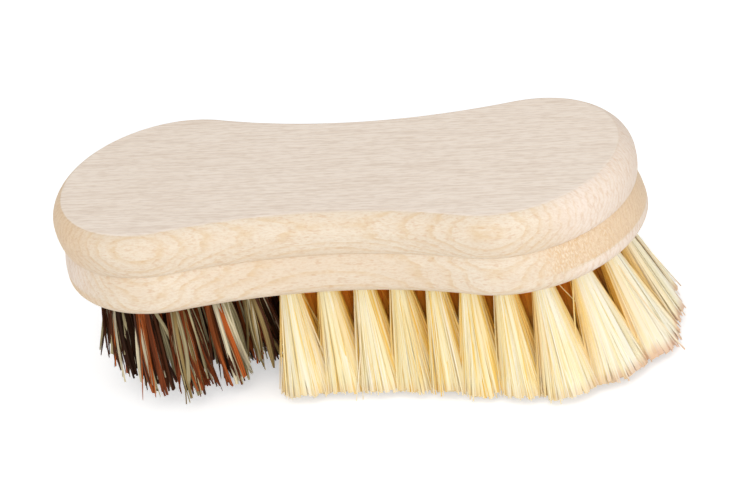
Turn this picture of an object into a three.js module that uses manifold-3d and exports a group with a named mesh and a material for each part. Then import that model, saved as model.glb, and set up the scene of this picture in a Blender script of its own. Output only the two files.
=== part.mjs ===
// Vegetable brush: a waisted beech block with stiff fibre tufts set in holes drilled in its underside.
// Millimetres, +Z up. X runs along the block, with the pale tufts towards +X and the dark ones towards -X.
// The origin is under the middle of the block, on the plane of the pale tufts' tips, where the brush stands.
import * as THREE from "three";
import { mergeVertices } from "three/addons/utils/BufferGeometryUtils.js";
import Module from "manifold-3d";

const wasm = await Module();
wasm.setup();

// Outline of the block, seen from above: two round ends joined by two waist arcs
const BLOCK_LENGTH = 135;
const BLOCK_WIDTH = 53;
const WAIST_DIP = 5.3; // how far each long side dips in at the waist

// Edge of the block, from its flat top down to its flat underside: a bead, a groove and a rounded foot
const BLOCK_HEIGHT = 21;
const TOP_EDGE_INSET = 2.8; // the top face stops this far inside the bead's widest line
const BEAD_RISE = 5.2; // from the bead's widest line up to the top face
const BEAD_DROP = 5; // from the bead's widest line down to the groove
const GROOVE_DEPTH = 1.4;
const FOOT_RISE = 3.4; // from the underside up to the foot's widest line
const FOOT_INSET = 6; // the underside stops this far inside the foot's widest line

// Holes, drilled from the underside
const HOLE_DIAMETER = 5.6;
const HOLE_POINT_ANGLE = 118; // degrees, the drill's point
const HOLE_ROOF = 8.8; // wood left above the point of an upright hole
const HOLE_WALL = 1; // least wood between two holes: a site that would leave less is not drilled
const HOLE_MARGIN = 0.2; // flat left between the foot's round and the outer holes

// Tufts: one ring round the edge and two rows inside it
const PALE_TUFT_LENGTH = 26; // below the underside; the brush stands on these
const DARK_TUFT_LENGTH = 25;
const DARK_REACH = 50; // the dark tufts fill this much of the block, from its -X end
const RING_TUFTS = 32;
const ROW_TUFTS = 12;
const ROW_END_GAP = 11.2; // from the ends of the ring to the first tuft of an inner row
const RING_LEAN = 11; // degrees, how far the pale part of the ring splays outwards, square to the outline
const END_LEAN = 3; // degrees, how much further the pale tufts fan out lengthwise towards the +X end
const TUFT_CLEARANCE = 0.3; // between a tuft and the wall and floor of its hole
const TUFT_GAP = 0.8; // left between the closest tips
const FOLD_HEIGHT = 1.6; // height of the round where the fibres fold back at the top of a tuft

// How finely the curves are faceted
const END_STEPS = 28;
const WAIST_STEPS = 8;
const EDGE_STEPS = 4;
const ROUND_SIDES = 12;
const FOLD_STEPS = 3;

const BEECH = { color: 0xe6d2b0, roughness: 0.55, metalness: 0 };
const PALE_FIBRE = { color: 0xe3c98b, roughness: 0.7, metalness: 0 };
const DARK_FIBRE = { color: 0x4a2f1e, roughness: 0.7, metalness: 0 };

const endRadius = BLOCK_WIDTH / 2;
const endCentre = BLOCK_LENGTH / 2 - endRadius;
const waistHalf = endRadius - WAIST_DIP;
const waistRadius = (endCentre ** 2 + waistHalf ** 2 - endRadius ** 2) / (2 * WAIST_DIP);
const waistCentre = waistHalf + waistRadius;
const endSweep = Math.atan2(waistCentre, -endCentre); // from the long axis to where an end meets the waist
const waistSweep = endSweep - Math.PI / 2;

const holeRadius = HOLE_DIAMETER / 2;
const holePoint = holeRadius / Math.tan(THREE.MathUtils.degToRad(HOLE_POINT_ANGLE / 2));
const holeDepth = BLOCK_HEIGHT - HOLE_ROOF - holePoint;
const ringInset = FOOT_INSET + HOLE_MARGIN + holeRadius;
const underside = PALE_TUFT_LENGTH;
const darkLimit = DARK_REACH - BLOCK_LENGTH / 2;

// The five arcs of the outline, moved inwards by an inset, counterclockwise from the middle of the +X end.
function outlineArcs(inset) {
  const round = endRadius - inset;
  const waist = waistRadius + inset;
  const quarter = Math.PI / 2;
  const arc = (x, y, radius, from, to) => new THREE.EllipseCurve(x, y, radius, radius, from, to, to < from);
  return [
    arc(endCentre, 0, round, 0, endSweep),
    arc(0, waistCentre, waist, waistSweep - quarter, -waistSweep - quarter),
    arc(-endCentre, 0, round, Math.PI - endSweep, Math.PI + endSweep),
    arc(0, -waistCentre, waist, waistSweep + quarter, quarter - waistSweep),
    arc(endCentre, 0, round, -endSweep, 0),
  ];
}

function outlinePath(inset) {
  const path = new THREE.CurvePath();
  outlineArcs(inset).forEach((arc) => path.add(arc));
  return path;
}

function outlinePoints(inset) {
  const steps = [END_STEPS / 2, WAIST_STEPS, END_STEPS, WAIST_STEPS, END_STEPS / 2];
  return outlineArcs(inset).flatMap((arc, i) => arc.getPoints(steps[i]).slice(0, -1));
}

// Half the width of an inset outline at a distance x from the middle of the block.
function halfWidth(inset, x) {
  const waist = waistRadius + inset;
  if (Math.abs(x) < waist * Math.sin(waistSweep)) {
    return waistCentre - Math.sqrt(waist ** 2 - x ** 2);
  }
  return Math.sqrt((endRadius - inset) ** 2 - (Math.abs(x) - endCentre) ** 2);
}

// Points (inset, height) down the edge of the block, each stretch a curve of its own.
function edgeProfile() {
  const beadHeight = BLOCK_HEIGHT - BEAD_RISE;
  const grooveHeight = beadHeight - BEAD_DROP;
  const crown = (TOP_EDGE_INSET ** 2 + BEAD_RISE ** 2) / (2 * TOP_EDGE_INSET);
  const crownAngle = Math.atan2(BEAD_RISE, crown - TOP_EDGE_INSET);
  const shares = Array.from({ length: EDGE_STEPS }, (_, i) => i / EDGE_STEPS);
  const overBead = shares.map((s) => {
    const angle = crownAngle * (1 - s);
    return [crown * (1 - Math.cos(angle)), beadHeight + crown * Math.sin(angle)];
  });
  const underBead = shares.map((s) => {
    const angle = (Math.PI / 2) * s;
    return [GROOVE_DEPTH * (1 - Math.cos(angle)), beadHeight - BEAD_DROP * Math.sin(angle)];
  });
  const sideDrop = grooveHeight - FOOT_RISE;
  const side = shares.map((s) => [GROOVE_DEPTH * (1 - s) ** 2, grooveHeight - sideDrop * s]);
  const foot = [...shares, 1].map((s) => {
    const angle = (Math.PI / 2) * s;
    return [FOOT_INSET * (1 - Math.cos(angle)), FOOT_RISE * (1 - Math.sin(angle))];
  });
  return [...overBead, ...underBead, ...side, ...foot];
}

function toSolid(geometry) {
  geometry.deleteAttribute("normal");
  geometry.deleteAttribute("uv");
  const merged = mergeVertices(geometry, 1e-4);
  const vertProperties = new Float32Array(merged.attributes.position.array);
  const triVerts = new Uint32Array(merged.index.array);
  return new wasm.Manifold(new wasm.Mesh({ numProp: 3, vertProperties, triVerts }));
}

function toGeometry(solid) {
  const mesh = solid.getMesh();
  const geometry = new THREE.BufferGeometry();
  geometry.setAttribute("position", new THREE.BufferAttribute(mesh.vertProperties, 3));
  geometry.setIndex(new THREE.BufferAttribute(mesh.triVerts, 1));
  geometry.computeVertexNormals();
  return geometry;
}

function makeMesh(name, geometry, finish) {
  const mesh = new THREE.Mesh(geometry, new THREE.MeshStandardMaterial(finish));
  mesh.name = name;
  return mesh;
}

// A turned shape whose axis is Z, from points (radius, height) that start and end on the axis, lowest first.
function turned(points) {
  const profile = points.map(([radius, height]) => new THREE.Vector2(radius, height));
  return new THREE.LatheGeometry(profile, ROUND_SIDES).rotateX(Math.PI / 2);
}

// The undrilled block, its underside at height 0: one outline for each point of the edge, joined in order.
function blankBlock() {
  const rings = edgeProfile().map(([inset, height]) =>
    outlinePoints(inset).map((point) => new THREE.Vector3(point.x, point.y, height)),
  );
  const count = rings[0].length;
  const index = [];
  for (let ring = 0; ring + 1 < rings.length; ring += 1) {
    for (let i = 0; i < count; i += 1) {
      const upper = [ring * count + i, ring * count + ((i + 1) % count)];
      const lower = upper.map((vertex) => vertex + count);
      index.push(upper[0], lower[0], lower[1], upper[0], lower[1], upper[1]);
    }
  }
  const flat = rings[0].map((point) => new THREE.Vector2(point.x, point.y));
  const last = (rings.length - 1) * count;
  for (const [a, b, c] of THREE.ShapeUtils.triangulateShape(flat, [])) {
    index.push(a, b, c, last + c, last + b, last + a);
  }
  const geometry = new THREE.BufferGeometry().setFromPoints(rings.flat());
  geometry.setIndex(index);
  return geometry;
}

// Where the tufts stand on the underside, and how far each one leans for every millimetre down. The pale tufts
// splay outwards, and the dark ones stand upright.
function tuftSites() {
  const sites = [];
  const ringReach = BLOCK_LENGTH / 2 - ringInset;
  const ringSlope = Math.tan(THREE.MathUtils.degToRad(RING_LEAN));
  const endSlope = Math.tan(THREE.MathUtils.degToRad(END_LEAN));
  const addSite = (root, outward) => {
    const lean = new THREE.Vector2();
    if (root.x >= darkLimit) {
      lean.copy(outward).multiplyScalar(ringSlope);
      lean.x += (endSlope * root.x) / ringReach;
    }
    const floor = root.clone().addScaledVector(lean, -holeDepth);
    const spacing = (site) => Math.min(site.root.distanceTo(root), site.floor.distanceTo(floor));
    if (sites.every((site) => spacing(site) >= HOLE_DIAMETER + HOLE_WALL)) {
      sites.push({ root, floor, lean });
    }
  };
  const ring = outlinePath(ringInset);
  for (let i = 0; i < RING_TUFTS; i += 1) {
    const share = (i + 0.5) / RING_TUFTS;
    const along = ring.getTangent(share);
    addSite(ring.getPoint(share), new THREE.Vector2(along.y, -along.x));
  }
  const rowReach = ringReach - ROW_END_GAP;
  for (const rowShare of [-1 / 3, 1 / 3]) {
    for (let i = 0; i < ROW_TUFTS; i += 1) {
      const x = rowReach * ((2 * i) / (ROW_TUFTS - 1) - 1);
      addSite(new THREE.Vector2(x, rowShare * halfWidth(ringInset, x)), new THREE.Vector2(0, rowShare));
    }
  }
  return sites;
}

function closestPair(points) {
  const gaps = points.flatMap((point, i) => points.slice(i + 1).map((other) => point.distanceTo(other)));
  return Math.min(...gaps);
}

// Turns the axis of a drill or a tuft so that it leans on its way down.
function leanTurn(lean) {
  const upright = new THREE.Vector3(0, 0, 1);
  const axis = new THREE.Vector3(-lean.x, -lean.y, 1).normalize();
  return new THREE.Quaternion().setFromUnitVectors(upright, axis);
}

const sites = tuftSites();
const tips = sites.map((site) => site.root.clone().addScaledVector(site.lean, PALE_TUFT_LENGTH));
const tipRadius = (Math.min(closestPair(sites.map((site) => site.root)), closestPair(tips)) - TUFT_GAP) / 2;

// One drill, its mouth at height 0, long enough below it to leave the wood at a lean.
function drill() {
  return turned([
    [0, -holeRadius],
    [holeRadius, -holeRadius],
    [holeRadius, holeDepth],
    [0, holeDepth + holePoint],
  ]);
}

function makeBlock() {
  const drilled = sites.reduce((wood, { root, lean }) => {
    const bit = drill().applyQuaternion(leanTurn(lean)).translate(root.x, root.y, 0);
    return wood.subtract(toSolid(bit));
  }, toSolid(blankBlock()));
  const block = makeMesh("block", toGeometry(drilled), BEECH);
  block.position.z = underside;
  return block;
}

// A tuft is a cone that widens from its fold to its tips, trimmed level with the other tufts of its colour.
function makeTuft({ root, lean }, name, length, finish) {
  const mouthRadius = holeRadius - TUFT_CLEARANCE;
  const slope = (tipRadius - mouthRadius) / PALE_TUFT_LENGTH;
  const top = holeDepth - TUFT_CLEARANCE;
  const reach = (length + tipRadius) / Math.cos(Math.atan(lean.length()));
  const foldRadius = mouthRadius - slope * (top - FOLD_HEIGHT);
  const fold = Array.from({ length: FOLD_STEPS + 1 }, (_, i) => {
    const angle = ((Math.PI / 2) * i) / FOLD_STEPS;
    return [foldRadius * Math.cos(angle), top - FOLD_HEIGHT * (1 - Math.sin(angle))];
  });
  const cone = turned([[0, -reach], [mouthRadius + slope * reach, -reach], ...fold]);
  const tuft = makeMesh(name, cone, finish);
  tuft.position.set(root.x, root.y, underside);
  tuft.quaternion.copy(leanTurn(lean));
  tuft.updateMatrix();
  const waste = new THREE.BoxGeometry(BLOCK_LENGTH, BLOCK_LENGTH, BLOCK_LENGTH);
  waste.translate(root.x, root.y, underside - length - BLOCK_LENGTH / 2);
  waste.applyMatrix4(tuft.matrix.clone().invert());
  tuft.geometry = toGeometry(toSolid(cone).subtract(toSolid(waste)));
  return tuft;
}

const brush = new THREE.Group();
brush.add(makeBlock());
const numbered = (kind, i) => `${kind}_tuft_${String(i + 1).padStart(2, "0")}`;
const paleSites = sites.filter((site) => site.root.x >= darkLimit);
const darkSites = sites.filter((site) => site.root.x < darkLimit);
paleSites.forEach((site, i) => brush.add(makeTuft(site, numbered("pale", i), PALE_TUFT_LENGTH, PALE_FIBRE)));
darkSites.forEach((site, i) => brush.add(makeTuft(site, numbered("dark", i), DARK_TUFT_LENGTH, DARK_FIBRE)));

export default brush;
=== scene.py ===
import bpy
import numpy as np
from mathutils import Matrix, Vector
from mathutils.geometry import delaunay_2d_cdt


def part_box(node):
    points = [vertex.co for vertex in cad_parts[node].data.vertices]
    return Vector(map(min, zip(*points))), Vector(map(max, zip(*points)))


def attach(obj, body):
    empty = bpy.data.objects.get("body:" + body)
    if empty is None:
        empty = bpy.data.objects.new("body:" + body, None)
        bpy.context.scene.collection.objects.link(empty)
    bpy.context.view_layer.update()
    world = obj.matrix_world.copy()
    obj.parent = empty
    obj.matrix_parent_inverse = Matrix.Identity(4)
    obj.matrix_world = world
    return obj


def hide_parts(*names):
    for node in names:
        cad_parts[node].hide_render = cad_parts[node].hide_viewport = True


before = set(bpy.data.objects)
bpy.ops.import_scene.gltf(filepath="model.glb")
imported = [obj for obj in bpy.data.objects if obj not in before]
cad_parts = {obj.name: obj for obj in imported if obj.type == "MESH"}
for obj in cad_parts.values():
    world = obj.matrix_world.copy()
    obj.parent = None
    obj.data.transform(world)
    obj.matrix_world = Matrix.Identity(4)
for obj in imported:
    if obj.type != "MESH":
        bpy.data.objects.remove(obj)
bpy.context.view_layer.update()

# Block: one piece of pale beech, sawn to a waisted outline and run past a moulding cutter that leaves a
# bead, a groove and a rounded foot round its edge, then sanded and oiled. Its underside is drilled with
# one blind hole for each tuft.
MM = 0.001
WAIST_DIP = 5.3 * MM
TOP_EDGE_INSET = 2.8 * MM
RIM_ROUND = 0.45 * MM
BEAD_RISE = 5.2 * MM
BEAD_DROP = 5.0 * MM
GROOVE_DEPTH = 1.4 * MM
FOOT_RISE = 3.4 * MM
FOOT_INSET = 6.0 * MM
HOLE_RADIUS = 2.8 * MM
FOLD_CLEARANCE = 0.3 * MM
DRILL_POINT = 1.7 * MM
DRILL_TIP_RADIUS = 0.02 * HOLE_RADIUS
HOLE_SIDES = 16
HOLE_RINGS = 3
EDGE_ROWS = 10
END_STEPS = 112
WAIST_STEPS = 36
SHARP_EDGE = np.radians(50)
SAME_HEIGHT = 0.01 * MM
SAME_POINT = 1e-7
MICRON_PLACES = 6

block_low, block_high = (np.array(corner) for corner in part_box("block"))
underside = block_low[2]
block_length, block_width, block_height = block_high - block_low
end_radius = block_width / 2
end_centre = block_length / 2 - end_radius
waist_half = end_radius - WAIST_DIP
waist_radius = (end_centre ** 2 + waist_half ** 2 - end_radius ** 2) / (2 * WAIST_DIP)
waist_centre = waist_half + waist_radius
end_sweep = np.arctan2(waist_centre, -end_centre)
waist_sweep = end_sweep - np.pi / 2


def outline_points(inset):
    """Outlines parallel to the side of the block, one row for each inset, counterclockwise from where the
    +X end meets the near side of the waist.

    Each point is its arc's centre plus the arc's radius along its angle. An inset shortens the radius of
    the two end arcs and lengthens that of the two waist arcs, which curve the other way."""
    def arc(x, y, radius, turn, start, stop, steps):
        angle = np.linspace(start, stop, steps, endpoint=False)
        reach = radius - turn * inset[:, None]
        return np.stack([x + reach * np.cos(angle), y + reach * np.sin(angle)], axis=-1)

    quarter = np.pi / 2
    return np.concatenate([
        arc(end_centre, 0, end_radius, 1, -end_sweep, end_sweep, END_STEPS),
        arc(0, waist_centre, waist_radius, -1, waist_sweep - quarter, -waist_sweep - quarter, WAIST_STEPS),
        arc(-end_centre, 0, end_radius, 1, np.pi - end_sweep, np.pi + end_sweep, END_STEPS),
        arc(0, -waist_centre, waist_radius, -1, waist_sweep + quarter, quarter - waist_sweep, WAIST_STEPS),
    ], axis=1)


def moulding():
    """Inset and height of each row down the edge of the block.

    A small curve turns over the rim, an arc goes over the bead to its widest line, a quarter of an
    ellipse turns in under the bead to the groove, a parabola runs out of it to the foot, and another
    quarter of an ellipse turns under the foot."""
    share = np.linspace(0, 1, EDGE_ROWS, endpoint=False)
    bead = block_height - BEAD_RISE
    groove = bead - BEAD_DROP
    crown = (TOP_EDGE_INSET ** 2 + BEAD_RISE ** 2) / (2 * TOP_EDGE_INSET)
    crown_angle = np.arctan2(BEAD_RISE, crown - TOP_EDGE_INSET)
    start_angle = crown_angle - RIM_ROUND / crown
    angle = start_angle * (1 - share)
    over_bead = [crown * (1 - np.cos(angle)), bead + crown * np.sin(angle)]
    corner = np.array([[TOP_EDGE_INSET], [block_height]])
    rim_start = corner + [[RIM_ROUND], [0]]
    rim_stop = np.array([[over_bead[0][0]], [over_bead[1][0]]])
    rim = (1 - share) ** 2 * rim_start + 2 * share * (1 - share) * corner + share ** 2 * rim_stop
    turn = np.pi / 2 * share
    under_bead = [GROOVE_DEPTH * (1 - np.cos(turn)), bead - BEAD_DROP * np.sin(turn)]
    side = [GROOVE_DEPTH * (1 - share) ** 2, groove + (FOOT_RISE - groove) * share]
    turn = np.append(turn, np.pi / 2)
    foot = [FOOT_INSET * (1 - np.cos(turn)), FOOT_RISE * (1 - np.sin(turn))]
    flat = [[TOP_EDGE_INSET + 2 * RIM_ROUND], [block_height]]
    return np.concatenate([flat, rim, over_bead, under_bead, side, foot], axis=1)


def tuft_axis(node_name):
    """Where a tuft's axis crosses the underside, how far it leans for each metre down, and its fold and
    tip heights.

    Every ring of the tuft's solid above its level tip is centred on the axis, so the mean of their points
    is on it."""
    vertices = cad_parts[node_name].data.vertices
    points = np.empty(3 * len(vertices), np.float32)
    vertices.foreach_get("co", points)
    points = np.unique(points.reshape(-1, 3).astype(float).round(MICRON_PLACES), axis=0)
    low, high = points.min(axis=0), points.max(axis=0)
    at_tip = points[:, 2] < low[2] + SAME_HEIGHT
    upper = points[~at_tip].mean(axis=0)
    tip = (points[at_tip].min(axis=0) + points[at_tip].max(axis=0)) / 2
    lean = (tip - upper)[:2] / (upper[2] - tip[2])
    root = upper[:2] + lean * (upper[2] - underside)
    return root, lean, high[2], low[2]


def hole_rings(axes):
    """Three rings for each hole, at its mouth, its floor and its point, each a circle slid along the
    leaning axis."""
    roots, leans, folds = (np.array([axis[i] for axis in axes]) for i in range(3))
    angle = np.linspace(0, 2 * np.pi, HOLE_SIDES, endpoint=False)
    circle = np.stack([np.cos(angle), np.sin(angle)], axis=-1)
    hole_floor = folds.max() + FOLD_CLEARANCE
    heights = np.array([underside, hole_floor, hole_floor + DRILL_POINT])
    radii = np.array([HOLE_RADIUS, HOLE_RADIUS, DRILL_TIP_RADIUS])
    centres = roots[:, None] - leans[:, None] * (heights - underside)[None, :, None]
    flat = centres[:, :, None] + radii[None, :, None, None] * circle
    upright = np.broadcast_to(heights[None, :, None, None], flat.shape[:3] + (1,))
    return np.concatenate([flat, upright], axis=-1)


def ring_quads(rings, columns):
    """Faces of a closed band: each point of a ring, the point below it, and the neighbours of both."""
    ring, column = np.meshgrid(np.arange(rings - 1), np.arange(columns), indexing="ij")
    after = (column + 1) % columns
    upper = ring * columns
    lower = upper + columns
    corners = [upper + column, lower + column, lower + after, upper + after]
    return np.stack(corners, axis=-1).reshape(-1, 4)


def make_object(name, points, faces):
    """A smooth mesh, as an object at the origin."""
    mesh = bpy.data.meshes.new(name)
    mesh.from_pydata(points.tolist(), [], faces)
    mesh.shade_smooth()
    piece = bpy.data.objects.new(name, mesh)
    bpy.context.scene.collection.objects.link(piece)
    return piece


def make_block(axes):
    """The edge is the moulding carried round the outline, the top one flat face inside it, and the
    underside a flat face that joins the foot to the mouths of the holes."""
    inset, height = moulding()
    flat = outline_points(inset)
    rows, columns = flat.shape[:2]
    upright = np.broadcast_to((underside + height)[:, None, None], (rows, columns, 1))
    edge = np.concatenate([flat, upright], axis=-1)
    points = np.concatenate([edge.reshape(-1, 3), hole_rings(axes).reshape(-1, 3)])
    edge_count = rows * columns
    hole_count = len(axes)
    hole_first = edge_count + HOLE_RINGS * HOLE_SIDES * np.arange(hole_count)
    around = np.arange(HOLE_SIDES)
    faces = ring_quads(rows, columns).tolist()
    faces.append(list(range(columns)))
    for first in hole_first:
        faces += (first + ring_quads(HOLE_RINGS, HOLE_SIDES)).tolist()
        point_ring = first + (HOLE_RINGS - 1) * HOLE_SIDES + around
        faces.append(point_ring[::-1].tolist())
    mouths = (hole_first[:, None] + around).ravel()
    border = np.concatenate([np.arange(edge_count - columns, edge_count), mouths])
    loops = [list(range(columns))]
    loops += (columns + np.arange(hole_count * HOLE_SIDES)).reshape(-1, HOLE_SIDES).tolist()
    flat_points = [Vector(point) for point in points[border, :2].tolist()]
    inside_with_holes = 2
    triangles = delaunay_2d_cdt(flat_points, [], loops, inside_with_holes, SAME_POINT)
    original = [border[source[0]] for source in triangles[3]]
    faces += [[original[corner] for corner in reversed(face)] for face in triangles[2]]
    return make_object("beech_block", points, faces)


pale_nodes = sorted(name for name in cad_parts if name.startswith("pale_tuft"))
dark_nodes = sorted(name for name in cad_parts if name.startswith("dark_tuft"))
tuft_axes = {name: tuft_axis(name) for name in pale_nodes + dark_nodes}
block = make_block(list(tuft_axes.values()))
block.data.set_sharp_from_angle(angle=SHARP_EDGE)
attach(block, "root")
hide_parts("block")


def srgb(red, green, blue):
    """A colour given on the 0 to 255 scale, as the linear colour that a shader takes."""
    part = np.array([red, green, blue]) / 255
    linear = np.where(part <= 0.04045, part / 12.92, ((part + 0.055) / 1.055) ** 2.4)
    return (*linear, 1.0)


def node(tree, kind, inputs=(), **settings):
    """Adds a shader node, with its settings and with values or other nodes' sockets on its inputs."""
    made = tree.nodes.new(kind)
    for name, value in settings.items():
        setattr(made, name, value)
    for name, value in dict(inputs).items():
        if isinstance(value, bpy.types.NodeSocket):
            tree.links.new(value, made.inputs[name])
        else:
            made.inputs[name].default_value = value
    return made


def math(tree, operation, first, second=0.0, third=0.0):
    return node(tree, "ShaderNodeMath", {0: first, 1: second, 2: third}, operation=operation).outputs[0]


def product(tree, first, *others):
    for other in others:
        first = math(tree, "MULTIPLY", first, other)
    return first


def between(tree, value, at_zero, at_one):
    """Goes evenly from one number to another while the value goes from 0 to 1."""
    return math(tree, "MULTIPLY_ADD", value, at_one - at_zero, at_zero)


def parts(tree, vector):
    return node(tree, "ShaderNodeSeparateXYZ", {0: vector}).outputs


def stretched(tree, place, scale):
    return node(tree, "ShaderNodeVectorMath", {0: place, 1: scale}, operation="MULTIPLY").outputs[0]


def object_place(tree):
    return node(tree, "ShaderNodeTexCoord").outputs["Object"]


def place_in_mm(tree):
    return stretched(tree, object_place(tree), (1 / MM, 1 / MM, 1 / MM))


def noise(tree, place, scale, detail=2.0, roughness=0.5):
    """Noise with its own scale along X, Y and Z, in features for each unit of length."""
    vector = stretched(tree, place, scale)
    inputs = {"Vector": vector, "Scale": 1.0, "Detail": detail, "Roughness": roughness}
    return node(tree, "ShaderNodeTexNoise", inputs).outputs["Fac"]


def ramp(tree, value, low, high, start=0.0, stop=1.0):
    """Goes smoothly from start to stop while the value goes from low to high, and no further."""
    inputs = {"Value": value, "From Min": low, "From Max": high, "To Min": start, "To Max": stop}
    return node(tree, "ShaderNodeMapRange", inputs, interpolation_type="SMOOTHSTEP").outputs["Result"]


def blend(tree, share, first, second):
    """One colour at a share of nothing, another at a share of one."""
    return node(tree, "ShaderNodeMix", {0: share, 6: first, 7: second}, data_type="RGBA").outputs[2]


def tinted(tree, colour, tint, *shares):
    """The colour, moved towards a tint by the product of the shares."""
    return blend(tree, product(tree, *shares), colour, tint)


def new_material(name, constants):
    """A material with one main shader, and constants on the shader's sockets."""
    material = bpy.data.materials.new(name)
    material.use_nodes = True
    shader = material.node_tree.nodes["Principled BSDF"]
    for socket, value in constants.items():
        shader.inputs[socket].default_value = value
    return material, material.node_tree, shader


PITH = (0, 150, -40)
RING_WIDTH = 1.1
GRAIN_TURN = np.radians(2.5)
BUMP_DISTANCE = 0.1 * MM
BEECH = srgb(236, 222, 202)
DEEPER_BEECH = srgb(231, 213, 190)
SANDED_TOP = srgb(253, 239, 225)
PALE_END_GRAIN = srgb(245, 229, 217)
DARK_END_GRAIN = srgb(236, 204, 166)
LATE_WOOD = srgb(221, 188, 141)
VESSELS = srgb(208, 182, 158)
FLECKS = srgb(216, 182, 142)
RAYS = srgb(208, 162, 116)
END_GRAIN_TICKS = srgb(218, 184, 150)
TORN_DARK = srgb(226, 192, 150)
TORN_PALE = srgb(240, 220, 194)
groove_line = (block_high[2] - BEAD_RISE - BEAD_DROP) / MM
foot_line = (underside + FOOT_RISE) / MM


def growth_rings(tree, place):
    """Late wood of the yearly rings, as a mask: the distance from a far-off pith, made uneven by slow and
    quick noise, is cut into bands that darken slowly and end quickly."""
    from_pith = node(tree, "ShaderNodeVectorMath", {0: place, 1: PITH}, operation="SUBTRACT").outputs[0]
    across = stretched(tree, from_pith, (0, 1, 1))
    distance = node(tree, "ShaderNodeVectorMath", {0: across}, operation="LENGTH").outputs["Value"]
    slow = noise(tree, place, scale=(0.012, 0.05, 0.05))
    quick = noise(tree, place, scale=(0.06, 0.45, 0.45), detail=3.0)
    uneven = noise(tree, across, scale=(0.0, 0.28, 0.28), detail=1.0)
    for wobble, reach in ((slow, 3.5), (quick, 0.9), (uneven, 1.4)):
        distance = math(tree, "MULTIPLY_ADD", wobble, reach, distance)
    phase = math(tree, "FRACT", math(tree, "DIVIDE", distance, RING_WIDTH))
    late = product(tree, ramp(tree, phase, 0.45, 0.88), ramp(tree, phase, 1.0, 0.91))
    broken = ramp(tree, noise(tree, place, scale=(0.5, 1.0, 1.0), detail=3.0, roughness=0.6), 0.35, 0.62)
    return product(tree, late, between(tree, broken, 0.3, 1.0))


def beech_material():
    """Growth rings, dashes and lines of vessels along the grain, flecks and rays on the sides, end grain
    that is paler where the cutter ran with the fibres, and torn fibres where it ran against them."""
    material, tree, shader = new_material("oiled_beech", {"Specular IOR Level": 0.25})
    place = place_in_mm(tree)
    grain = node(tree, "ShaderNodeVectorRotate", {"Vector": place, "Angle": GRAIN_TURN},
                 rotation_type="Z_AXIS").outputs[0]
    rings = growth_rings(tree, place)
    dashes = ramp(tree, noise(tree, grain, scale=(0.4, 2.1, 2.1)), 0.42, 0.7)
    lines = ramp(tree, noise(tree, grain, scale=(0.1, 1.8, 1.8), detail=1.0), 0.42, 0.72)
    flecks = ramp(tree, noise(tree, grain, scale=(0.9, 3.0, 3.0), roughness=0.6), 0.4, 0.72)
    rays = ramp(tree, noise(tree, grain, scale=(0.5, 1.5, 1.5), detail=1.0), 0.6, 0.72)
    ticks = ramp(tree, noise(tree, place, scale=(0.6, 1.5, 0.45), roughness=0.6), 0.48, 0.68)
    mottle = noise(tree, place, scale=(0.04, 0.12, 0.12), detail=3.0)
    fuzz = noise(tree, place, scale=(3.4, 3.4, 1.2), roughness=0.6)

    facing = node(tree, "ShaderNodeNewGeometry").outputs["Normal"]
    top = ramp(tree, parts(tree, facing)["Z"], 0.9, 0.985)
    side = math(tree, "SUBTRACT", 1.0, top)
    flat_facing = stretched(tree, facing, (1, 1, 0))
    level = node(tree, "ShaderNodeVectorMath", {0: flat_facing}, operation="NORMALIZE").outputs[0]
    outward = parts(tree, level)
    height = parts(tree, place)["Z"]
    below_groove = ramp(tree, height, groove_line + 0.4, groove_line - 0.2)
    cove = product(tree, below_groove, ramp(tree, height, foot_line + 1.0, foot_line + 1.6))
    with_fibres = product(tree, outward["X"], between(tree, cove, 1.0, -1.0))
    smooth = product(tree, ramp(tree, with_fibres, 0.35, 0.8), side)
    rough = product(tree, ramp(tree, with_fibres, -0.3, -0.75), side)
    end_grain = math(tree, "MAXIMUM", smooth, rough)
    long_grain = math(tree, "MULTIPLY_ADD", smooth, -0.7, side)
    against = ramp(tree, product(tree, outward["X"], outward["Y"]), -0.28, -0.46)
    torn = product(tree, against, cove, ramp(tree, mottle, 0.3, 0.55))

    colour = blend(tree, ramp(tree, mottle, 0.3, 0.7), BEECH, DEEPER_BEECH)
    colour = tinted(tree, colour, SANDED_TOP, top, 0.9)
    colour = tinted(tree, colour, PALE_END_GRAIN, smooth, 0.75)
    colour = tinted(tree, colour, DARK_END_GRAIN, rough, 0.6)
    ring_share = math(tree, "SUBTRACT", between(tree, top, 0.55, 0.15), product(tree, smooth, 0.25))
    colour = tinted(tree, colour, LATE_WOOD, rings, ring_share)
    colour = tinted(tree, colour, VESSELS, dashes, between(tree, top, 0.1, 0.27))
    colour = tinted(tree, colour, VESSELS, lines, between(tree, top, 0.08, 0.25))
    colour = tinted(tree, colour, FLECKS, flecks, long_grain, 0.4)
    colour = tinted(tree, colour, RAYS, rays, long_grain, 0.3)
    colour = tinted(tree, colour, END_GRAIN_TICKS, ticks, end_grain, 0.4)
    colour = tinted(tree, colour, TORN_DARK, torn, ramp(tree, fuzz, 0.46, 0.66))
    colour = tinted(tree, colour, TORN_PALE, torn, ramp(tree, fuzz, 0.46, 0.34))
    tree.links.new(colour, shader.inputs["Base Color"])
    relief = math(tree, "MULTIPLY_ADD", dashes, -1.0, product(tree, torn, fuzz, 4.0))
    bump = node(tree, "ShaderNodeBump", {"Height": relief, "Strength": 0.3, "Distance": BUMP_DISTANCE})
    tree.links.new(bump.outputs[0], shader.inputs["Normal"])
    tree.links.new(between(tree, torn, 0.55, 0.8), shader.inputs["Roughness"])
    return material


block.data.materials.append(beech_material())

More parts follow.
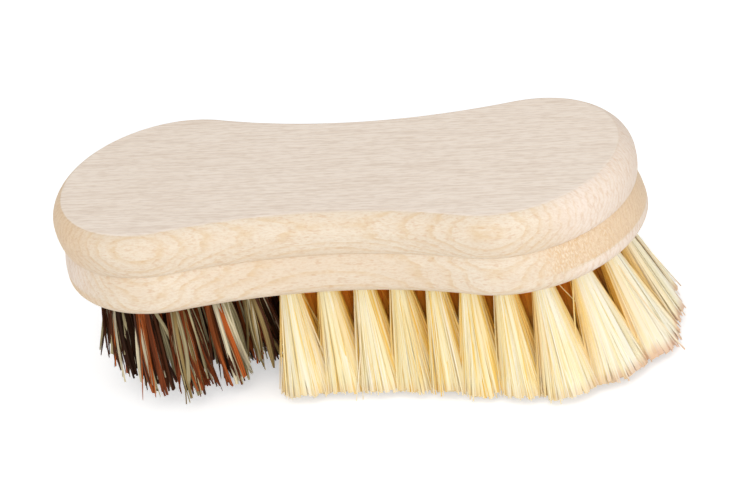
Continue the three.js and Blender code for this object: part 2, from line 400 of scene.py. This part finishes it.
# Pale tufts: bundles of stiff cream plant fibre, folded in the middle, pushed into a hole and trimmed
# level. Flat strands fill each bundle and fine fibres lie over them. Towards the tips they spread, until
# the tufts of the row along the edge meet.
FIBRE_SIDES = 4
FIBRE_STEPS = 8
MOUTH_DEPTH = 0.8 * MM
OPENING_POWER = 1.1
STREAKS_PER_MM = 3.0
STREAK_SHIFT = 90.0
PALE_SEED = 100
PALE_STRANDS = 190
PALE_FIBRES = 130
PALE_CLUMPS = 8
STRAND_REACH = HOLE_RADIUS - 0.9 * MM
FINE_REACH = HOLE_RADIUS - 0.8 * MM
CLUMP_REACH = HOLE_RADIUS - 0.2 * MM
EDGE_ROW_DEPTH = 12 * MM
PALE_SPREAD = 2.36
EDGE_SPREAD = 2.12
SIDE_SPREAD = 3.09
END_SIDE_SPREAD = 3.45
SPREAD_VARIES = (0.92, 1.06)
FINE_SPREAD = 1.1
END_FLARE = 1.8 * MM
TUFT_DRIFT = 0.4 * MM
STRAND_PULL, FINE_PULL = 0.05, 0.25
STRAND_WANDER, FINE_WANDER, STRAY_WANDER = 0.22 * MM, 0.4 * MM, 2.8 * MM
WANDER_LIMIT = 1.5
STRAY_SHARE = 0.03
PALE_BOW, STRAY_BOW = 0.2 * MM, 0.8 * MM
STRAND_TRIM, FINE_TRIM = 0.3 * MM, 0.1 * MM
TRIM_VARIES, TRIM_LOWEST, CLUMP_TRIM = 0.3 * MM, -0.4 * MM, 0.8 * MM
FINE_RADII, FINE_WIDENING = (0.12 * MM, 0.22 * MM), 1.1
STRAND_RADII, STRAND_WIDENING, STRAND_TIP = (0.34 * MM, 0.5 * MM), 0.645, 0.7
STRAND_FLATNESS, FINE_FLATNESS = 0.3, (0.35, 0.6)
STRAND_TWIST, FINE_TWIST = 0.15, 0.4
CLUMP_TONE, OWN_TONE = 0.4, 0.35
# Middle tone and outer fade give painted shade, with strands golder deep in each tuft; strand tone is
# random.
MIDDLE_SHADE_TONE, OUTER_SHADE_FADE, STRAND_TONE = 0.8, 0.75, 0.5
# Border and end tones are painted light: the tufts at both ends of the pale part are made paler.
BORDER_LIT_TONE, BORDER_REACH = 0.6, 20 * MM
END_LIT_TONE, END_REACH = 0.35, 10 * MM


def fibre_tubes(paths, radii, flatness, turns):
    """Closed tubes, one for each path, as points, faces and each point's place across its tube.

    Round each point of a path stands a ring of four corners, square to the path, wide one way and flatter
    the other; the rings are joined in order and the first and last are closed."""
    along = np.gradient(paths, axis=1)
    along /= np.linalg.norm(along, axis=-1, keepdims=True)
    start = np.stack([np.cos(turns), np.sin(turns), np.zeros(len(paths))], axis=-1)
    wide = np.cross(along, np.cross(np.broadcast_to(start[:, None], along.shape), along))
    wide /= np.linalg.norm(wide, axis=-1, keepdims=True)
    thin = np.cross(along, wide) * flatness[:, None, None]
    angle = 2 * np.pi * (np.arange(FIBRE_SIDES) + 0.5) / FIBRE_SIDES
    ring = wide[:, :, None] * np.cos(angle)[:, None] + thin[:, :, None] * np.sin(angle)[:, None]
    points = paths[:, :, None] + radii[:, :, None, None] * ring
    across = radii[:, :, None] * np.cos(angle)
    count, steps = paths.shape[:2]
    body = ring_quads(steps, FIBRE_SIDES)[:, ::-1]
    caps = np.array([np.arange(FIBRE_SIDES)[::-1], np.arange(FIBRE_SIDES) + FIBRE_SIDES * (steps - 1)])
    one = np.concatenate([body, caps])
    faces = one[None] + (np.arange(count) * steps * FIBRE_SIDES)[:, None, None]
    return points.reshape(-1, 3), faces.reshape(-1, FIBRE_SIDES), across.ravel()


def scatter(draw, count):
    """Points spread at random over a disc of radius one."""
    radius = np.sqrt(draw.uniform(0, 1, count))
    angle = draw.uniform(0, 2 * np.pi, count)
    return np.stack([radius * np.cos(angle), radius * np.sin(angle)], axis=-1)


def even_spread(count):
    """Points spread evenly over a disc of radius one: each a golden angle on from the last, and further
    out by the square root of its number."""
    number = np.arange(count)
    radius = np.sqrt((number + 0.5) / count)
    angle = number * np.pi * (3 - np.sqrt(5))
    return np.stack([radius * np.cos(angle), radius * np.sin(angle)], axis=-1)


def nearest(starts, clumps):
    """Number of the clump that is nearest to each start."""
    return ((starts[:, None] - clumps) ** 2).sum(axis=-1).argmin(axis=1)


def round_the_middle(starts):
    """Angle of the way round the bundle's middle, at each start."""
    return np.arctan2(starts[:, 0], -starts[:, 1])


def fibre_paths(axis, starts, stops, bows, tips):
    """Centre lines of a tuft's fibres, from its fold in the hole to their tips.

    Each goes down the tuft's leaning axis, moving from its start to its stop beside the axis once it
    leaves the hole, and bows to one side by half a sine."""
    root, lean, fold, _ = axis
    share = np.linspace(0, 1, FIBRE_STEPS - 1)
    mouth = underside + MOUTH_DEPTH
    height = np.insert(mouth + (tips - mouth)[:, None] * share, 0, fold, axis=1)
    opening = np.insert(share ** OPENING_POWER, 0, 0)
    beside = starts[:, None] + (stops - starts)[:, None] * opening[:, None]
    beside = beside + bows[:, None] * np.sin(np.pi * opening)[:, None]
    flat = root + lean * (underside - height)[..., None] + beside
    return np.concatenate([flat, height[..., None]], axis=-1)


def depth_inside(flat):
    """How far points on the underside lie inside the side of the block: end radius less the distance from
    the nearer end's centre, or beyond the waist's radius from the nearer waist's centre."""
    x, y = np.abs(flat).T
    from_end = end_radius - np.hypot(x - end_centre, y)
    from_waist = np.hypot(x, waist_centre - y) - waist_radius
    return np.where(np.arctan2(y, x - end_centre) < end_sweep, from_end, from_waist)


def spread_beside(root):
    """How a tuft widens towards its tips, as a matrix: alike each way inside the brush, and in the row
    along the edge more towards its neighbours than outwards."""
    step = 0.1 * MM
    depths = depth_inside(root + step * np.array([[0, 0], [1, 0], [0, 1]]))
    if depths[0] > EDGE_ROW_DEPTH:
        return PALE_SPREAD * np.eye(2)
    inward = depths[1:] - depths[0]
    inward /= np.linalg.norm(inward)
    sideways = END_SIDE_SPREAD if root[0] > end_centre else SIDE_SPREAD
    return sideways * np.eye(2) + (EDGE_SPREAD - sideways) * np.outer(inward, inward)


def make_tuft(name, node_name, tubes, values):
    """One mesh for a tuft, with each fibre's values and the places along and across it as attributes."""
    points, faces, across = tubes
    tuft = make_object(name, points, faces.tolist())
    tuft.data.set_sharp_from_angle(angle=SHARP_EDGE)
    per_fibre = FIBRE_SIDES * FIBRE_STEPS
    share = np.insert(np.linspace(0, 1, FIBRE_STEPS - 1), 0, 0)
    layers = {key: np.repeat(value, per_fibre) for key, value in values.items()}
    layers["along_fibre"] = np.tile(np.repeat(share, FIBRE_SIDES), len(points) // per_fibre)
    layers["across_fibre"] = across
    for key, layer in layers.items():
        attribute = tuft.data.attributes.new(key, "FLOAT", "POINT")
        attribute.data.foreach_set("value", layer.astype(np.float32))
    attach(tuft, "root")
    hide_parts(node_name)
    return tuft


def fibre_value(tree, name):
    return node(tree, "ShaderNodeAttribute", attribute_name=name).outputs["Fac"]


def streak_group():
    """Streaks that run down the fibres, as a value from 0 to 1: noise over the place across the fibre,
    drawn out along it and different on each."""
    group = bpy.data.node_groups.new("fibre_streaks", "ShaderNodeTree")
    per_mm = group.interface.new_socket("Per millimetre", in_out="INPUT", socket_type="NodeSocketFloat")
    per_mm.default_value = STREAKS_PER_MM
    group.interface.new_socket("Streak", in_out="OUTPUT", socket_type="NodeSocketFloat")
    entry = node(group, "NodeGroupInput")
    across = product(group, fibre_value(group, "across_fibre"), 1 / MM, entry.outputs[0])
    along = fibre_value(group, "along_fibre")
    own = product(group, fibre_value(group, "fibre_tone"), STREAK_SHIFT)
    place = node(group, "ShaderNodeCombineXYZ", {"X": across, "Y": along, "Z": own}).outputs[0]
    fine = node(group, "ShaderNodeTexNoise", {"Vector": place, "Scale": 1.0, "Detail": 2.0}).outputs["Fac"]
    node(group, "NodeGroupOutput", {0: ramp(group, fine, 0.35, 0.68)})
    return group


streaks = streak_group()

CREAM = srgb(247, 243, 228)
STRAW = srgb(246, 235, 192)
GOLD = srgb(236, 194, 88)
# The next two colours are painted shade: gold for fibres inside the brush, orange at the inner roots.
INNER_SHADE_GOLD = srgb(238, 190, 66)
ROOT_SHADE_ORANGE = srgb(255, 148, 36)
TIP_TAN = srgb(226, 176, 120)
END_TIP_BROWN = srgb(206, 136, 96)
FIBRE_SHEEN = srgb(255, 232, 140)


def pale_fibre_material():
    """Cream to golden fibres, in streaks, with fewer streaks towards the far end as painted light, painted
    shade in deeper gold inside the brush and in orange at the roots there, and browner at the tips, most of
    all at the far end."""
    material, tree, shader = new_material("pale_plant_fibre", {
        "Roughness": 0.6, "Specular IOR Level": 0.2,
        "Sheen Weight": 0.25, "Sheen Roughness": 0.4, "Sheen Tint": FIBRE_SHEEN})
    tone = fibre_value(tree, "fibre_tone")
    along = fibre_value(tree, "along_fibre")
    depth = fibre_value(tree, "fibre_depth")
    streak = node(tree, "ShaderNodeGroup", node_tree=streaks).outputs[0]
    at_end = ramp(tree, parts(tree, object_place(tree))["X"], 45 * MM, 70 * MM)
    # Painted light: tufts towards the far end get fewer golden streaks, so they look paler, as if lit more.
    streak_share = between(tree, at_end, 0.72, 0.32)
    warmth = math(tree, "MULTIPLY_ADD", streak, streak_share, product(tree, tone, 0.75))
    colour = blend(tree, ramp(tree, warmth, 0.1, 0.65), CREAM, STRAW)
    colour = tinted(tree, colour, GOLD, ramp(tree, warmth, 0.65, 1.2))
    # Painted shade: fibres deeper inside the brush than the front of the edge row turn gold towards the
    # root.
    inside = ramp(tree, depth, 6.6 * MM, 10 * MM)
    colour = tinted(tree, colour, INNER_SHADE_GOLD, inside, ramp(tree, along, 1.4, 0.4))
    # Painted shade: the inner tufts turn orange towards their roots, under the block and behind the edge
    # row.
    further_inside = ramp(tree, depth, 8.5 * MM, 12 * MM)
    colour = tinted(tree, colour, ROOT_SHADE_ORANGE, further_inside, ramp(tree, along, 1.0, 0.2))
    tip_colour = blend(tree, at_end, TIP_TAN, END_TIP_BROWN)
    tip_share = between(tree, at_end, 0.2, 0.55)
    colour = tinted(tree, colour, tip_colour, ramp(tree, along, 0.88, 1.0), tip_share)
    tree.links.new(colour, shader.inputs["Base Color"])
    return material


pale_fibre = pale_fibre_material()
pale_start = min(tuft_axes[name][0][0] for name in pale_nodes)


def pale_bundle(draw, axis):
    """Tubes of a pale tuft, with the tone of each fibre and its depth inside the block's side.

    Strands start evenly over the hole and fine fibres at random. Each stops where the tuft's spread
    carries its start, drawn a little towards the nearest clump and moved aside at random, strays the
    furthest. Tones fall from the middle of a tuft outwards, a painted shade that makes the strands deep in
    a tuft golder, and towards both ends of the pale part, a painted light that makes those tufts paler."""
    root, _, _, tip_height = axis
    strands = even_spread(PALE_STRANDS) * STRAND_REACH
    starts = np.concatenate([strands, scatter(draw, PALE_FIBRES) * FINE_REACH])
    count = len(starts)
    fine = np.arange(count) >= PALE_STRANDS
    clumps = scatter(draw, PALE_CLUMPS) * CLUMP_REACH
    clump = nearest(starts, clumps)
    stray = fine & (draw.uniform(0, 1, count) < STRAY_SHARE)
    pull = np.where(fine, FINE_PULL, STRAND_PULL)[:, None]
    wander = np.where(fine, FINE_WANDER, STRAND_WANDER)
    wander[stray] = STRAY_WANDER
    spread = spread_beside(root) * draw.uniform(*SPREAD_VARIES)
    stops = (starts + pull * (clumps[clump] - starts)) @ spread
    stops[fine] *= FINE_SPREAD
    stops += draw.normal(0, TUFT_DRIFT, 2)
    stops += draw.normal(0, 1, (count, 2)).clip(-WANDER_LIMIT, WANDER_LIMIT) * wander[:, None]
    stops += END_FLARE * np.maximum(root - (end_centre, 0), (0, -1)) / end_radius * (root[0] > end_centre)
    bows = draw.normal(0, 1, (count, 2)) * np.where(stray, STRAY_BOW, PALE_BOW)[:, None]
    tips = tip_height + np.where(fine, FINE_TRIM, STRAND_TRIM)
    tips += draw.normal(0, TRIM_VARIES, count).clip(TRIM_LOWEST, None)
    tips += draw.uniform(0, CLUMP_TRIM, PALE_CLUMPS)[clump]
    radii = draw.uniform(*FINE_RADII, (count, 1)) * np.linspace(1.0, FINE_WIDENING, FIBRE_STEPS)
    widening = np.linspace(1.0, STRAND_WIDENING * np.linalg.norm(spread, 2), FIBRE_STEPS)
    radii[~fine] = draw.uniform(*STRAND_RADII, (PALE_STRANDS, 1)) * widening
    radii[~fine, -1] *= STRAND_TIP
    flatness = np.where(fine, draw.uniform(*FINE_FLATNESS, count), STRAND_FLATNESS)
    turns = round_the_middle(starts) + draw.normal(0, 1, count) * np.where(fine, FINE_TWIST, STRAND_TWIST)
    tones = CLUMP_TONE * draw.uniform(0, 1, PALE_CLUMPS)[clump] + OWN_TONE * draw.uniform(0, 1, count)
    # Painted shade: strands, which lie under the fine fibres, are golder the nearer they are to the middle
    # of the tuft.
    from_middle = np.linalg.norm(strands, axis=1) / HOLE_RADIUS
    tones[~fine] = MIDDLE_SHADE_TONE - OUTER_SHADE_FADE * from_middle + STRAND_TONE * tones[~fine]
    # Painted light: tones fall towards both ends of the pale part, making those tufts paler.
    fade_places = [pale_start, pale_start + BORDER_REACH, end_centre - END_REACH, end_centre + END_REACH]
    tones *= np.interp(root[0], fade_places, [BORDER_LIT_TONE, 1.0, 1.0, END_LIT_TONE])
    tubes = fibre_tubes(fibre_paths(axis, starts, stops, bows, tips), radii, flatness, turns)
    return tubes, {"fibre_tone": tones, "fibre_depth": depth_inside(root + starts)}


for index, node_name in enumerate(pale_nodes):
    tubes, values = pale_bundle(np.random.default_rng(PALE_SEED + index), tuft_axes[node_name])
    tuft = make_tuft(f"pale_fibres_{index + 1:02d}", node_name, tubes, values)
    tuft.data.materials.append(pale_fibre)

# Dark tufts: a stiffer mix of dark brown, red-brown and dull pale fibres, flatter and coarser than the
# pale ones and set in the same way. They are cut less evenly and get shorter towards the end of the brush
# and beside the pale tufts, where they are also pushed in from the edge.
DARK_SEED = 300
DARK_COUNT = 80
DARK_CLUMPS = 12
DARK_START_REACH = HOLE_RADIUS - 0.4 * MM
DARK_SPREAD = 1.5
DARK_PULL = 0.3
DARK_OUTWARD = 0.1
DARK_PUSH_IN = 0.48
DARK_PUSH_BACK = 2.4 * MM
BESIDE_PALE_POWER = 4
DARK_WANDER, DARK_STRAY_WANDER = 0.7 * MM, 1.9 * MM
DARK_STRAY_SHARE = 0.15
DARK_BOW = 0.5 * MM
DARK_TRIM, DARK_TRIM_VARIES, DARK_TRIM_LOWEST = 0.9 * MM, 1.2 * MM, -0.6 * MM
DARK_END_RISE, DARK_LEVEL_FROM = 4.2 * MM, 0.7
DARK_PALE_RISE = 2.0 * MM
DARK_RADIUS, DARK_RADIUS_DRAW = 0.8 * MM, (0.5, 1.05)
DARK_NARROWING, DARK_TIPS = 0.85, (0.25, 1.0)
DARK_FLATNESS = (0.3, 0.6)
DARK_TWIST = 0.5
DARK_CLUMP_SHARE = 0.5
DARK_STREAKS_PER_MM = 3.5
# Streak colour, also used for the painted shade towards the roots.
DARK_STREAK_AND_SHADE = srgb(54, 28, 12)
DARK_MIX = {0.0: srgb(42, 23, 12), 0.22: srgb(78, 40, 20), 0.36: srgb(126, 60, 28), 0.5: srgb(166, 86, 40),
            0.57: srgb(206, 106, 48), 0.62: srgb(160, 136, 88), 0.72: srgb(204, 190, 146),
            0.88: srgb(232, 220, 186)}


def dark_fibre_material():
    """Each fibre takes one colour of the mix, by its tone, darker in streaks, and darker towards its root as
    painted shade.
    """
    constants = {"Roughness": 0.6, "Specular IOR Level": 0.1}
    material, tree, shader = new_material("mixed_dark_fibre", constants)
    streak = node(tree, "ShaderNodeGroup", {0: DARK_STREAKS_PER_MM}, node_tree=streaks).outputs[0]
    palette = node(tree, "ShaderNodeValToRGB", {"Fac": fibre_value(tree, "fibre_tone")})
    palette.color_ramp.interpolation = "CONSTANT"
    for position in list(DARK_MIX)[2:]:
        palette.color_ramp.elements.new(position)
    for element, (position, colour) in zip(palette.color_ramp.elements, DARK_MIX.items()):
        element.position = position
        element.color = colour
    # Painted shade: fibres darken towards their roots, under the block.
    dark_root_shade = ramp(tree, fibre_value(tree, "along_fibre"), 0.4, 0.0, 0.0, 0.6)
    streak_and_root_shade = math(tree, "MAXIMUM", product(tree, streak, 0.65), dark_root_shade)
    tree.links.new(blend(tree, streak_and_root_shade, palette.outputs[0], DARK_STREAK_AND_SHADE), shader.inputs["Base Color"])
    return material


dark_fibre = dark_fibre_material()
dark_roots = np.array([tuft_axes[name][0] for name in dark_nodes])
dark_start, dark_stop = dark_roots[:, 0].min(), dark_roots[:, 0].max()


def dark_bundle(draw, axis):
    """Tubes of a dark tuft, with the tone of each fibre.

    Fibres start at random over the hole. Each stops where an even spread carries its start, drawn towards
    the nearest clump, moved aside at random, and pushed in and back the nearer its tuft stands to the
    pale ones. Half of the fibres share a clump's tone, and the rest have their own."""
    root, _, _, tip_height = axis
    starts = scatter(draw, DARK_COUNT) * DARK_START_REACH
    clumps = scatter(draw, DARK_CLUMPS) * HOLE_RADIUS
    clump = nearest(starts, clumps)
    stray = draw.uniform(0, 1, DARK_COUNT) < DARK_STRAY_SHARE
    from_end = (root[0] - dark_start) / (dark_stop - dark_start)
    beside_pale = from_end ** BESIDE_PALE_POWER
    push = -beside_pale * np.array([DARK_PUSH_BACK, DARK_PUSH_IN * root[1]])
    outward = DARK_OUTWARD * (root - dark_roots.mean(axis=0)) * (1 - beside_pale)
    stops = DARK_SPREAD * (starts + DARK_PULL * (clumps[clump] - starts)) + push + outward
    wander = np.where(stray, DARK_STRAY_WANDER, DARK_WANDER)
    stops += draw.normal(0, 1, (DARK_COUNT, 2)) * wander[:, None]
    bows = draw.normal(0, 1, (DARK_COUNT, 2)) * DARK_BOW
    tips = tip_height + draw.normal(DARK_TRIM, DARK_TRIM_VARIES, DARK_COUNT).clip(DARK_TRIM_LOWEST, None)
    tips += np.interp(from_end, [0, DARK_LEVEL_FROM], [DARK_END_RISE, 0]) + DARK_PALE_RISE * beside_pale
    radii = draw.uniform(*DARK_RADIUS_DRAW, (DARK_COUNT, 1)) ** 2 * DARK_RADIUS
    radii = radii * np.linspace(1.0, DARK_NARROWING, FIBRE_STEPS)
    radii[:, -1] *= draw.uniform(*DARK_TIPS, DARK_COUNT)
    turns = round_the_middle(starts) + draw.normal(0, DARK_TWIST, DARK_COUNT)
    flatness = draw.uniform(*DARK_FLATNESS, DARK_COUNT)
    own_tones = draw.uniform(0, 1, DARK_COUNT)
    in_clump = draw.uniform(0, 1, DARK_COUNT) < DARK_CLUMP_SHARE
    tones = np.where(in_clump, draw.uniform(0, 1, DARK_CLUMPS)[clump], own_tones)
    tubes = fibre_tubes(fibre_paths(axis, starts, stops, bows, tips), radii, flatness, turns)
    return tubes, {"fibre_tone": tones}


for index, node_name in enumerate(dark_nodes):
    tubes, values = dark_bundle(np.random.default_rng(DARK_SEED + index), tuft_axes[node_name])
    tuft = make_tuft(f"dark_fibres_{index + 1:02d}", node_name, tubes, values)
    tuft.data.materials.append(dark_fibre)

# Anchors: short pieces of flat steel wire, one across the fold of each bundle, driven with it to the
# bottom of its hole, where their ends bite into the wood and hold the tuft. They are out of sight.
ANCHOR_LENGTH = 6.4 * MM
ANCHOR_DEPTH = 1.8 * MM
ANCHOR_THICKNESS = 0.4 * MM
ANCHOR_BELOW_FOLD = 1.6 * MM
ANCHOR_STEPS = 3
WIRE_BRIGHT = srgb(176, 174, 170)
WIRE_DULL = srgb(120, 117, 112)


def make_anchors(axes):
    """A thin, upright, straight tube along Y for each tuft, centred on its axis a little below the fold."""
    roots, leans, folds = (np.array([axis[i] for axis in axes]) for i in range(3))
    height = folds - ANCHOR_BELOW_FOLD
    middle = np.column_stack([roots - leans * (height - underside)[:, None], height])
    along = np.linspace(-0.5, 0.5, ANCHOR_STEPS)[:, None] * ANCHOR_LENGTH * np.array([0, 1, 0])
    half_width = np.full((len(axes), ANCHOR_STEPS), ANCHOR_THICKNESS / 2 / np.cos(np.pi / FIBRE_SIDES))
    flatness = np.full(len(axes), ANCHOR_DEPTH / ANCHOR_THICKNESS)
    points, faces, _ = fibre_tubes(middle[:, None] + along, half_width, flatness, np.zeros(len(axes)))
    return make_object("tuft_anchors", points, faces.tolist())


def anchor_material():
    """Drawn wire, with fine lines along it and a dull, uneven polish."""
    material, tree, shader = new_material("anchor_steel", {"Metallic": 1.0})
    drawn = noise(tree, place_in_mm(tree), scale=(6.0, 0.3, 6.0), detail=3.0)
    tree.links.new(blend(tree, drawn, WIRE_BRIGHT, WIRE_DULL), shader.inputs["Base Color"])
    tree.links.new(ramp(tree, drawn, 0.2, 0.8, 0.3, 0.55), shader.inputs["Roughness"])
    return material


anchors = make_anchors(list(tuft_axes.values()))
anchors.data.shade_flat()
anchors.data.materials.append(anchor_material())
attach(anchors, "root")

# Stage: a plain white floor and surroundings, soft light from a large panel in front and from three
# smaller ones low down round the brush, and the photograph's view. The floor is clear from below.
FLOOR_SIZE = 6.0
FLOOR_HEIGHT = -1.5 * MM
FLOOR_WHITE = (0.9, 0.9, 0.9, 1)
FLOOR_GLOW = 0.45
SURROUNDING_LIGHT, SURROUNDINGS_SEEN = 0.53, 1.0
WHITE = (1, 1, 1, 1)
PANEL_DISTANCE = 1.2


def seen_directly(tree):
    """One for rays from the camera or passed on by a polished or clear surface, and nothing for the rest."""
    rays = node(tree, "ShaderNodeLightPath").outputs
    passed_on = math(tree, "MAXIMUM", rays["Is Glossy Ray"], rays["Is Transmission Ray"])
    return math(tree, "MAXIMUM", rays["Is Camera Ray"], passed_on)


def floor_material():
    """Dull white that looks brighter to the camera than the light it gives back, and clear from below."""
    material, tree, shader = new_material("white_floor", {
        "Base Color": FLOOR_WHITE, "Roughness": 0.9, "Specular IOR Level": 0.0, "Emission Color": WHITE})
    tree.links.new(product(tree, seen_directly(tree), FLOOR_GLOW), shader.inputs["Emission Strength"])
    from_below = node(tree, "ShaderNodeNewGeometry").outputs["Backfacing"]
    clear = node(tree, "ShaderNodeBsdfTransparent").outputs[0]
    surface = node(tree, "ShaderNodeMixShader", {0: from_below, 1: shader.outputs[0], 2: clear}).outputs[0]
    tree.links.new(surface, tree.nodes["Material Output"].inputs["Surface"])
    return material


corner = FLOOR_SIZE / 2 * np.array([[-1, -1, 0], [1, -1, 0], [1, 1, 0], [-1, 1, 0]])
floor = make_object("floor", corner + (0, 0, FLOOR_HEIGHT), [[0, 1, 2, 3]])
floor.data.materials.append(floor_material())

world = bpy.data.worlds.new("white_surroundings")
bpy.context.scene.world = world
world.use_nodes = True
sky = world.node_tree
background = sky.nodes["Background"]
background.inputs["Color"].default_value = WHITE
sky_strength = between(sky, seen_directly(sky), SURROUNDING_LIGHT, SURROUNDINGS_SEEN)
sky.links.new(sky_strength, background.inputs["Strength"])


def direction(azimuth, elevation):
    """The way out from the brush at an azimuth, counted from the front towards +X, and an elevation."""
    level_share = np.cos(elevation)
    return Vector((np.sin(azimuth) * level_share, -np.cos(azimuth) * level_share, np.sin(elevation)))


def soft_panel(name, azimuth, elevation, size, watts):
    """A square panel that faces the brush from an azimuth and elevation, in degrees."""
    out = direction(*np.radians([azimuth, elevation]))
    lamp = bpy.data.lights.new(name, "AREA")
    lamp.size = size
    lamp.energy = watts
    panel = bpy.data.objects.new(name, lamp)
    panel.location = out * PANEL_DISTANCE
    panel.rotation_euler = out.to_track_quat("Z", "Y").to_euler()
    bpy.context.scene.collection.objects.link(panel)


soft_panel("front_panel", azimuth=25, elevation=58, size=1.0, watts=3.5)
soft_panel("low_panel", azimuth=23.5, elevation=26, size=0.25, watts=2.8)
soft_panel("end_panel", azimuth=62, elevation=14, size=0.25, watts=2.2)
soft_panel("left_panel", azimuth=-50, elevation=15, size=0.5, watts=1.8)

AZIMUTH, ELEVATION, ROLL = np.radians([23.513, 30.182, -15.506])
DISTANCE = 1540.05 * MM
SLIDE_RIGHT, SLIDE_UP = 8.537 * MM, -18.372 * MM
PHOTO_WIDTH, FOCAL_PIXELS = 750, 7000
SENSOR_WIDTH = 36
NEAREST_SEEN = 0.05
back = direction(AZIMUTH, ELEVATION)
level = Vector((np.cos(AZIMUTH), np.sin(AZIMUTH), 0))
upright = back.cross(level)
right = level * np.cos(ROLL) + upright * np.sin(ROLL)
above = upright * np.cos(ROLL) - level * np.sin(ROLL)
lens = bpy.data.cameras.new("photograph_view")
lens.sensor_width = SENSOR_WIDTH
lens.lens = FOCAL_PIXELS * SENSOR_WIDTH / PHOTO_WIDTH
lens.clip_start = NEAREST_SEEN
camera = bpy.data.objects.new("photograph_view", lens)
bpy.context.scene.collection.objects.link(camera)
turn = Matrix((right, above, back)).transposed().to_4x4()
top_middle = Vector((0, 0, block_high[2]))
eye = top_middle + back * DISTANCE + right * SLIDE_RIGHT + above * SLIDE_UP
camera.matrix_world = Matrix.Translation(eye) @ turn
bpy.context.scene.camera = camera
bpy.context.scene.view_settings.view_transform = "Standard"
